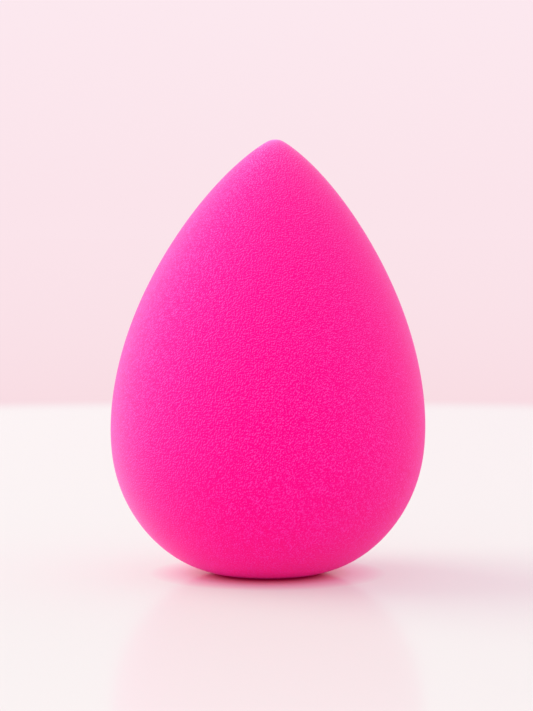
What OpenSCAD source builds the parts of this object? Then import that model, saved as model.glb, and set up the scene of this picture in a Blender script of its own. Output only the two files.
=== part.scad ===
// Teardrop makeup sponge: one solid body of moulded foam that stands on a small flat foot.
// Its half outline is a chain of curves, each of which meets the next without a corner.
// Lengths are in millimetres. +Z is up, and the origin is the centre of the foot.

/* [Body] */
// Height from the foot to the top of the tip
body_height = 60; // [50:0.5:72]
// Diameter at the widest level
body_diameter = 43.5; // [36:0.5:50]
// Height of the widest level above the foot
widest_height = 19.75; // [15:0.25:24]

/* [Tip] */
// Radius of the rounded point at the top
tip_radius = 2.3; // [1:0.1:4]

/* [Foot] */
// Diameter of the flat face that the body rests on
foot_diameter = 9; // [5:0.5:14]

/* [Fullness] */
// Turn of the rounded point's surface, as a share of its turn if one arc led on from it
tip_turn_share = 0.885; // [0.84:0.005:0.95]
// Radius of the nose that leads on from the point, as a share of that one arc's radius
nose_share = 0.49; // [0.38:0.01:0.55]
// Radius of the long flank, as a share of the one arc from the nose to the widest level
flank_share = 1.18; // [1.05:0.01:1.35]
// Radius of the belly just above the widest level, as a share of the same arc
belly_share = 0.85; // [0.75:0.01:0.96]

/* [Hidden] */
foam_pink = [0.97, 0.09, 0.55];
// Turn of the surface, in degrees, from one band of the body to the next
band_turn = 2.5;
$fn = 128;

widest_radius = body_diameter / 2;
foot_radius = foot_diameter / 2;

// Radius of the one arc that joins a circle to the widest level and is upright there
function joining_radius(centre, radius) =
    let (reach = [widest_radius, widest_height] - centre)
    (reach * reach - radius * radius) / (2 * (reach.x - radius));

// The point at distance ra from a and rb from b, on the right of the way from a to b
function meeting_point(a, ra, b, rb) =
    let (
        way = b - a,
        gap = norm(way),
        along = (ra * ra - rb * rb + gap * gap) / (2 * gap),
        across = sqrt(ra * ra - along * along)
    )
    a + (along * way + across * [way.y, -way.x]) / gap;

// The angle, in degrees above level, of the way from one point to another
function heading(a, b) = atan2(b.y - a.y, b.x - a.x);

// Points of a quarter or less of an ellipse, from one angle to another, without the last one
function curve(centre, radii, from, to) =
    let (bands = ceil((to - from) / band_turn))
    [for (i = [0 : bands - 1])
        let (angle = from + (to - from) * i / bands)
        centre + [radii.x * cos(angle), radii.y * sin(angle)]];

// The same for an arc, on which the angle is also the way that the surface faces
function arc(centre, radius, from, to) = curve(centre, [radius, radius], from, to);

// The point of the tip turns less far than it would if one arc ran down from it to the widest level
tip_centre = [0, body_height - tip_radius];
tip_arc_radius = joining_radius(tip_centre, tip_radius);
tip_arc_centre = [widest_radius - tip_arc_radius, widest_height];
tip_start = 90 - tip_turn_share * (90 - heading(tip_arc_centre, tip_centre));

nose_radius = nose_share * tip_arc_radius;
nose_centre = tip_centre - (nose_radius - tip_radius) * [cos(tip_start), sin(tip_start)];

// The flank's arc goes round the nose's and the belly's, and touches both
nose_arc_radius = joining_radius(nose_centre, nose_radius);
belly_radius = belly_share * nose_arc_radius;
flank_radius = flank_share * nose_arc_radius;
belly_centre = [widest_radius - belly_radius, widest_height];
flank_centre = meeting_point(
    nose_centre, flank_radius - nose_radius, belly_centre, flank_radius - belly_radius);
flank_start = heading(flank_centre, belly_centre);
nose_start = heading(flank_centre, nose_centre);

// From the middle of the foot, out and up to the tip
module half_outline() {
    polygon(concat(
        [[0, 0]],
        curve([foot_radius, widest_height], [widest_radius - foot_radius, widest_height], -90, 0),
        arc(belly_centre, belly_radius, 0, flank_start),
        arc(flank_centre, flank_radius, flank_start, nose_start),
        arc(nose_centre, nose_radius, nose_start, tip_start),
        arc(tip_centre, tip_radius, tip_start, 90),
        [[0, body_height]]
    ));
}

// The moulded foam, closed skin and open-celled core in one piece
module sponge_body() {
    color(foam_pink) rotate_extrude() half_outline();
}

sponge_body();
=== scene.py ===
# Teardrop makeup sponge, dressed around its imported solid. Everything is in metres, in the solid's own frame.
import math
import bpy
import numpy as np
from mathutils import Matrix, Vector


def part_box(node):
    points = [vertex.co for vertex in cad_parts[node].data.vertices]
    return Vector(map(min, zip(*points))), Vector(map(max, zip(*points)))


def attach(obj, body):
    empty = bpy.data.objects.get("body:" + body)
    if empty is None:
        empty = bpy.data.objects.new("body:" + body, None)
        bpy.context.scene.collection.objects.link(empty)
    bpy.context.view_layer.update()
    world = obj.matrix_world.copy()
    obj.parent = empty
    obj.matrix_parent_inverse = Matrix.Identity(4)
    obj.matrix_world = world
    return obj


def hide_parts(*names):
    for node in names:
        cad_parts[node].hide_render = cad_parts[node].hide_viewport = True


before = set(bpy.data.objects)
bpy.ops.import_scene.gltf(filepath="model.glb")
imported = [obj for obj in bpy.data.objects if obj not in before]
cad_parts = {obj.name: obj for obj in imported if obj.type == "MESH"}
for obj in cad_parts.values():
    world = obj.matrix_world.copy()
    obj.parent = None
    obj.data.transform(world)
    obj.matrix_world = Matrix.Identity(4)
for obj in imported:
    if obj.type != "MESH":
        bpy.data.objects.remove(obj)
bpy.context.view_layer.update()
scene = bpy.context.scene
scene.view_settings.view_transform = "Standard"


# Sponge body: one block of soft polyurethane foam, poured as a liquid into a teardrop mould.
# The dye runs right through. The skin that cures against the mould is closed, matt and velvety,
# and the body stands on the small flat that its own weight keeps pressed on the table.
foot_radius = 0.0045
# Steps in which the outline crosses the foot
foot_steps = 200
# Ways that the half outline faces, in degrees above level, and how wide it curves there, as shares of one
# another. Between them the width changes evenly.
facing_degrees = (-90, -65, -40, -10, 8, 32, 45, 57, 62, 90)
curve_width_share = (15.6, 14.8, 19.7, 21.1, 42.8, 66.1, 38.6, 13.4, 2.25, 2.25)
facing_step_degrees = 0.02
# How far the tip leans to one side, and how late on the way up the lean sets in
tip_lean = 0.00109
lean_power = 2.7

low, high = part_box("sponge_body")
body_radius = (high.x - low.x) / 2
body_height = high.z - low.z


def half_outline():
    """Radius and height of the foam's outline, from the middle of the foot to the tip."""
    first, last = facing_degrees[0], facing_degrees[-1]
    degrees = np.arange(first, last + facing_step_degrees / 2, facing_step_degrees)
    width = np.interp(degrees, facing_degrees, curve_width_share)
    middle = np.radians((degrees[1:] + degrees[:-1]) / 2)
    length = (width[1:] + width[:-1]) / 2
    radius = np.append(0, np.cumsum(-length * np.sin(middle)))
    height = np.append(0, np.cumsum(length * np.cos(middle)))
    widest = np.argmax(radius)
    below = foot_radius + radius[:widest] / radius[widest] * (body_radius - foot_radius)
    above = (radius[widest:] - radius[-1]) / (radius[widest] - radius[-1]) * body_radius
    foot = np.linspace(0, foot_radius, foot_steps, endpoint=False)
    radius = np.concatenate([foot, below, above])
    height = np.concatenate([0 * foot, height / height[-1] * body_height])
    return radius, height


# The skin is one square net of faces, folded round the body. The tip is at the middle of the net, and its
# four corners meet under the foot. Its rings are spaced so that every face covers as much skin as any other.
half_rings = 154
# This turn puts the net's four seams halfway between the front, the sides and the back
net_turn = math.radians(45)


def ring_places(radius, height):
    """Radius and height of each ring of the net, from the tip to the middle of the foot."""
    radius, height = radius[::-1], height[::-1]
    band = np.hypot(np.diff(radius), np.diff(height)) * (radius[1:] + radius[:-1])
    covered = np.append(0, np.cumsum(band))
    covered /= covered[-1]
    # The ring halfway through the net has half of the skin above it
    share = np.arange(half_rings + 1) / half_rings / math.sqrt(2)
    along = np.arange(len(radius))
    upper = np.interp(share, np.sqrt(covered), along)
    lower = np.interp(share, np.sqrt(1 - covered[::-1]), along)
    place = np.append(upper, len(radius) - 1 - lower[-2::-1])
    return np.interp(place, along, radius), np.interp(place, along, height)


def folded_net():
    """Vertices and faces of the skin, and each face corner's place on the square net."""
    across = np.arange(-half_rings, half_rings + 1)
    side = len(across)
    column, row = [x.ravel() for x in np.meshgrid(across, across, indexing="ij")]
    below = abs(column) + abs(row) > half_rings
    turned_column = np.where(below, (half_rings - abs(row)) * np.sign(column), column)
    turned_row = np.where(below, (half_rings - abs(column)) * np.sign(row), row)
    ring = abs(turned_column) + abs(turned_row)
    quarter_share = abs(turned_row) / np.maximum(ring, 1)
    angle = np.arctan2(np.sign(turned_row) * np.sin(quarter_share * math.pi / 2),
                       np.sign(turned_column) * np.cos(quarter_share * math.pi / 2))
    # Places on the net's edge that fold onto the same spot have the same key, and become one vertex
    key = (below * side + turned_column + half_rings) * side + turned_row + half_rings
    first, vertex = np.unique(key, return_index=True, return_inverse=True)[1:]
    ring_radius, ring_height = ring_places(*half_outline())
    place = np.where(below, 2 * half_rings - ring, ring)[first]
    turn = angle[first] + net_turn
    points = np.stack([ring_radius[place] * np.cos(turn), ring_radius[place] * np.sin(turn),
                       ring_height[place]], 1)
    corner = np.arange(side * side).reshape(side, side)
    faces = np.stack([corner[:-1, :-1], corner[1:, :-1], corner[1:, 1:], corner[:-1, 1:]], -1)
    faces = faces.reshape(-1, 4)
    net = np.stack([column, row], 1) / (2 * half_rings) + 0.5
    return points, vertex[faces], net[faces]


skin_points, skin_faces, skin_net = folded_net()
skin_points[:, 0] += tip_lean * (skin_points[:, 2] / body_height) ** lean_power

foam_mesh = bpy.data.meshes.new("moulded_foam")
foam_mesh.from_pydata(skin_points.tolist(), [], skin_faces.tolist())
foam_mesh.update()
net_margin = 0.004
foam_map = foam_mesh.uv_layers.new(name="OFBake")
corners = net_margin + (1 - 2 * net_margin) * skin_net.reshape(-1, 2)
foam_map.uv.foreach_set("vector", corners.astype(np.float32).ravel())
foam_mesh.polygons.foreach_set("use_smooth", [True] * len(foam_mesh.polygons))
foam = bpy.data.objects.new("moulded_foam", foam_mesh)
scene.collection.objects.link(foam)

# Colours of the dyed foam, as linear light: the foam's own pink in the middle, with painted shade on one side
# of its fine cells and painted light on the other. The second row is for the tip, painted paler as a glow of
# light getting through the thin foam.
body_pinks_with_painted_cell_light = (0.88, 0.0, 0.275, 1), (0.885, 0.002, 0.345, 1), (0.89, 0.072, 0.47, 1)
tip_pinks_with_painted_glow_and_cell_light = (0.88, 0.0, 0.3, 1), (0.885, 0.018, 0.4, 1), (0.89, 0.17, 0.61, 1)
# The very top is painted paler: a painted highlight on the small nib of the tip
nib_painted_highlight = (0.89, 0.15, 0.56, 1)
# How late on the way up the tip's painted glow sets in, and the nib's painted highlight
tip_power = 16.0
nib_power = 100.0
# The skin has no gloss, only a pale velvety sheen towards its rims
skin_roughness = 0.9
velvet_roughness = 0.48
velvet_tint = (0.42, 0.43, 0.48, 1)
# The cells are drawn out one way. Each has painted light: it is painted paler on the side that the
# painted-light step points to and darker on the other, as if lit from that side
cell_size = (0.00015, 0.00015, 0.00026)
cell_turn = (0, math.radians(40), math.radians(-35))
cell_detail = 1.0
cell_roughness = 0.6
painted_light_step = (0.0001, -0.00006, -0.00011)
darkest_painted_shade = 0.0
palest_painted_light = 0.14
relief_depth = 0.00003
# A few burst bubbles, each a small pit that is only painted on: its darkness is painted shade, darkest over
# its bottom
pit_spacing = 0.005
pit_radius = 0.00022
pit_bottom_radius = 0.000088


def feed(tree, socket, value):
    """Links an output to the input socket, or sets the socket to a plain value."""
    if isinstance(value, bpy.types.NodeSocket):
        tree.links.new(value, socket)
    else:
        socket.default_value = value


def add_node(tree, kind, **inputs):
    """Adds a shader node and feeds those of its inputs that are named, with _ for a space."""
    made = tree.nodes.new("ShaderNode" + kind)
    for name, value in inputs.items():
        feed(tree, made.inputs[name.replace("_", " ")], value)
    return made


def worked_out(tree, operation, *values):
    """Adds a Math node and gives its output."""
    made = tree.nodes.new("ShaderNodeMath")
    made.operation = operation
    for socket, value in zip(made.inputs, values):
        feed(tree, socket, value)
    return made.outputs[0]


def risen(tree, value, low, high, **results):
    """Adds a Map Range node, from 0 to 1 as the value goes from low to high, and gives its output."""
    made = add_node(tree, "MapRange", Value=value, From_Min=low, From_Max=high, **results)
    return made.outputs["Result"]


def mixed_colour(tree, factor, first, second):
    """Adds a colour Mix node and gives its output."""
    made = tree.nodes.new("ShaderNodeMix")
    made.data_type = "RGBA"
    sockets = {socket.identifier: socket for socket in [*made.inputs, *made.outputs]}
    feed(tree, sockets["Factor_Float"], factor)
    feed(tree, sockets["A_Color"], first)
    feed(tree, sockets["B_Color"], second)
    return sockets["Result_Color"]


def ramp_colour(tree, factor, colours, places=(0.0, 0.5, 1.0)):
    """Adds a Color Ramp through the colours at those places and gives its output."""
    made = add_node(tree, "ValToRGB", Fac=factor)
    stops = made.color_ramp.elements
    while len(stops) < len(colours):
        stops.new(1.0)
    for stop, spot, colour in zip(stops, places, colours):
        stop.position = spot
        stop.color = colour
    return made.outputs["Color"]


def foam_cells(tree, place):
    """Adds a noise of the foam's drawn-out cells and gives its output."""
    drawn = add_node(tree, "Mapping", Vector=place, Rotation=cell_turn, Scale=cell_size)
    drawn.vector_type = "TEXTURE"
    noise = add_node(tree, "TexNoise", Vector=drawn.outputs["Vector"], Scale=1.0, Detail=cell_detail,
                     Roughness=cell_roughness)
    return noise.outputs["Fac"]


foam_material = bpy.data.materials.new("pink_foam_skin")
foam_material.use_nodes = True
tree = foam_material.node_tree
skin = tree.nodes["Principled BSDF"]
place = add_node(tree, "TexCoord").outputs["Object"]
leant = tree.nodes.new("ShaderNodeVectorMath")
leant.operation = "ADD"
feed(tree, leant.inputs[0], place)
feed(tree, leant.inputs[1], painted_light_step)
cells = foam_cells(tree, place)
leant_cells = foam_cells(tree, leant.outputs[0])
# Painted light on the cells: the noise less the same noise one step over paints each cell paler on one side
# and darker on the other
side = worked_out(tree, "SUBTRACT", cells, leant_cells)
painted_cell_light = risen(tree, side, darkest_painted_shade, palest_painted_light)
bubbles = add_node(tree, "TexVoronoi", Vector=place, Scale=1 / pit_spacing)
# Painted shade in each pit
painted_pit_shade = risen(tree, bubbles.outputs["Distance"], pit_bottom_radius / pit_spacing, pit_radius / pit_spacing)
painted_cell_light_and_pit_shade = worked_out(tree, "MULTIPLY", painted_cell_light, painted_pit_shade)
climb = add_node(tree, "SeparateXYZ", Vector=place).outputs["Z"]
height_share = worked_out(tree, "MAXIMUM", worked_out(tree, "DIVIDE", climb, body_height), 0.0)
# Share of the tip's painted glow, rising towards the tip
painted_tip_glow_mask = worked_out(tree, "POWER", height_share, tip_power)
# Share of the nib's painted highlight, only at the very top
painted_nib_highlight_mask = worked_out(tree, "POWER", height_share, nib_power)
body_colour = ramp_colour(tree, painted_cell_light_and_pit_shade, body_pinks_with_painted_cell_light)
tip_colour_with_painted_glow = ramp_colour(tree, painted_cell_light_and_pit_shade, tip_pinks_with_painted_glow_and_cell_light)
upper_colour = mixed_colour(tree, painted_tip_glow_mask, body_colour, tip_colour_with_painted_glow)
foam_colour = mixed_colour(tree, painted_nib_highlight_mask, upper_colour, nib_painted_highlight)
feed(tree, skin.inputs["Base Color"], foam_colour)
relief = add_node(tree, "Bump", Height=cells, Distance=relief_depth, Strength=1.0)
feed(tree, skin.inputs["Normal"], relief.outputs["Normal"])
skin.inputs["Roughness"].default_value = skin_roughness
skin.inputs["Specular IOR Level"].default_value = 0.0
skin.inputs["Sheen Weight"].default_value = 1.0
skin.inputs["Sheen Roughness"].default_value = velvet_roughness
skin.inputs["Sheen Tint"].default_value = velvet_tint
foam_mesh.materials.append(foam_material)

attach(foam, "root")
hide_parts("sponge_body")


# Floor: a plain pale table top with a satin polish, which takes the sponge's shadow and a faint reflection.
# Further off it gives way to a plain pale pink backdrop.
floor_radius = 3.0
rim_step_degrees = 5
satin_roughness = 0.15
satin_shine = 0.04
# Colours of the table top as the camera sees it, in the open and close to the foot, where a deep pink is
# painted on as the foam's shadow and the pink light it throws
floor_white = (0.69, 0.69, 0.65, 1)
foot_painted_shadow_pink = (0.78, 0.1, 0.25, 1)
# Colours of the light that it throws back onto the sponge, from the open and from close to the foot
floor_bounce = (0.97, 0.45, 0.82, 1)
foot_bounce = (0.98, 0.0, 0.7, 1)
# The table top glows with painted light that evens its shade out, as if light that sinks into it came out
# again. These are its shares of the whole, close to the foot and in the open, its colours from the foot
# outwards, which start as a painted dark red shadow, and its colour on the sponge.
painted_foot_glow_share = 0.15
painted_open_glow_share = 0.4
painted_glow_pinks = (0.85, 0.0, 0.1, 1), (1.0, 0.55, 0.8, 1), (0.92, 0.84, 0.88, 1)
painted_glow_on_sponge = (0.98, 0.1, 0.62, 1)
# Distances from the middle of the foot: where the painted pink shade and the pink light that the floor throws
# start to fade, where the painted shade ends, where the pink light on the sponge ends, and where the table
# ends. Its soft edge is two blurs wide.
pink_reach = 0.0072
white_reach = 0.0165
bounce_reach = 0.045
table_reach = 0.29
edge_blur = 0.021
# Backdrop colours as the camera sees them: just beyond the table, at the horizon, and overhead
backdrop_low = (0.945, 0.72, 0.77, 1)
backdrop_far = (0.965, 0.775, 0.83, 1)
backdrop_high = (0.975, 0.81, 0.865, 1)

floor_mesh = bpy.data.meshes.new("floor")
rim_angles = np.radians(np.arange(0, 360, rim_step_degrees))
floor_rim = [(floor_radius * math.cos(a), floor_radius * math.sin(a), 0) for a in rim_angles]
floor_mesh.from_pydata(floor_rim, [], [list(range(len(floor_rim)))])
floor = bpy.data.objects.new("floor", floor_mesh)
scene.collection.objects.link(floor)


def seen_rays(tree):
    """1 for a ray from the camera or off a glossy surface, and 0 for one that only carries light."""
    path = add_node(tree, "LightPath").outputs
    return worked_out(tree, "MAXIMUM", path["Is Camera Ray"], path["Is Glossy Ray"])


def mixed_shader(tree, factor, first, second):
    """Adds a Mix Shader node and gives its output."""
    made = tree.nodes.new("ShaderNodeMixShader")
    for socket, value in zip(made.inputs, (factor, first, second)):
        feed(tree, socket, value)
    return made.outputs[0]


floor_material = bpy.data.materials.new("pale_floor")
floor_material.use_nodes = True
tree = floor_material.node_tree
polish = tree.nodes["Principled BSDF"]
polish.inputs["Roughness"].default_value = satin_roughness
polish.inputs["Specular IOR Level"].default_value = satin_shine
seen = seen_rays(tree)
away = tree.nodes.new("ShaderNodeVectorMath")
away.operation = "LENGTH"
feed(tree, away.inputs[0], add_node(tree, "TexCoord").outputs["Object"])
distance = away.outputs["Value"]
painted_foot_shade_fade = risen(tree, distance, pink_reach, white_reach)
open_floor = risen(tree, distance, pink_reach, bounce_reach)
# Close to the foot the camera sees a painted pink shadow in place of the plain table colour
shown_white = mixed_colour(tree, painted_foot_shade_fade, foot_painted_shadow_pink, floor_white)
bounce = mixed_colour(tree, open_floor, foot_bounce, floor_bounce)
feed(tree, polish.inputs["Base Color"], mixed_colour(tree, seen, bounce, shown_white))
edge = add_node(tree, "MapRange", Value=distance)
edge.interpolation_type = "SMOOTHSTEP"
edge.inputs["From Min"].default_value = table_reach - edge_blur
edge.inputs["From Max"].default_value = table_reach + edge_blur
beyond = worked_out(tree, "MULTIPLY", edge.outputs["Result"], seen)
nearness = worked_out(tree, "DIVIDE", table_reach, distance)
lower_backdrop = mixed_colour(tree, nearness, backdrop_far, backdrop_low)
# Painted light: near the sponge the table top glows and this glow lights the sponge too; beyond the table the
# same emission is the plain backdrop
painted_glow_colour = mixed_colour(tree, seen, painted_glow_on_sponge, ramp_colour(tree, painted_foot_shade_fade, painted_glow_pinks))
painted_glow_and_backdrop = add_node(tree, "Emission", Color=mixed_colour(tree, beyond, painted_glow_colour, lower_backdrop))
least_share = worked_out(tree, "MULTIPLY", seen, painted_foot_glow_share)
painted_table_glow_share = risen(tree, painted_foot_shade_fade, 0.0, 1.0, To_Min=least_share, To_Max=painted_open_glow_share)
painted_glow_and_backdrop_share = risen(tree, beyond, 0.0, 1.0, To_Min=painted_table_glow_share)
surface = mixed_shader(tree, painted_glow_and_backdrop_share, polish.outputs[0], painted_glow_and_backdrop.outputs[0])
feed(tree, tree.nodes["Material Output"].inputs["Surface"], surface)
floor_mesh.materials.append(floor_material)


# Room: soft daylight that comes from above alone, pink off the walls and fainter and whiter off the ceiling.
# The camera sees the room as the upper part of the pale pink backdrop.
room_level = 3.4
# Heights that the daylight comes from, as the upward share of its direction, and its colour at each of them
room_height_shares = 0.2, 0.35, 0.6
room_colours = (0, 0, 0, 1), (1, 0.374, 0.647, 1), (0.247, 0.268, 0.268, 1)
# Height, told the same way, from which the backdrop has its overhead colour
backdrop_top_share = 0.08

world = bpy.data.worlds.new("soft_room")
world.use_nodes = True
tree = world.node_tree
way = add_node(tree, "TexCoord").outputs["Generated"]
upward = add_node(tree, "SeparateXYZ", Vector=way).outputs["Z"]
daylight = tree.nodes["Background"]
daylight.inputs["Strength"].default_value = room_level
feed(tree, daylight.inputs["Color"], ramp_colour(tree, upward, room_colours, room_height_shares))
climb = risen(tree, upward, 0.0, backdrop_top_share)
upper_backdrop = mixed_colour(tree, climb, backdrop_far, backdrop_high)
shown_room = add_node(tree, "Background", Color=upper_backdrop, Strength=1.0)
surface = mixed_shader(tree, seen_rays(tree), daylight.outputs[0], shown_room.outputs[0])
feed(tree, tree.nodes["World Output"].inputs["Surface"], surface)
scene.world = world


# Key lamp: one big square soft box, which lights the sponge as a window would. It stands high up on the left,
# a little behind the sponge, and faces it.
lamp_place = Vector((-0.95, 0.35, 0.7))
lamp_size = 1.2
lamp_power = 18.0
lamp_colour = (0.55, 1, 0.77)

lamp_data = bpy.data.lights.new("key_lamp", "AREA")
lamp_data.shape = "SQUARE"
lamp_data.size = lamp_size
lamp_data.energy = lamp_power
lamp_data.color = lamp_colour
key_lamp = bpy.data.objects.new("key_lamp", lamp_data)
sponge_middle = Vector((0, 0, body_height / 2))
key_lamp.location = lamp_place
key_lamp.rotation_mode = "QUATERNION"
key_lamp.rotation_quaternion = (lamp_place - sponge_middle).to_track_quat("Z", "Y")
scene.collection.objects.link(key_lamp)


# Camera: a long lens just below the level of the tip, tilted slightly down.
lens_length = 128.45
camera_place = (-0.000143, -0.35, 0.05168)
camera_tilt = math.radians(3.508)

camera_data = bpy.data.cameras.new("camera")
camera_data.lens = lens_length
camera = bpy.data.objects.new("camera", camera_data)
camera.location = camera_place
camera.rotation_euler = (math.radians(90) - camera_tilt, 0, 0)
scene.collection.objects.link(camera)
scene.camera = camera
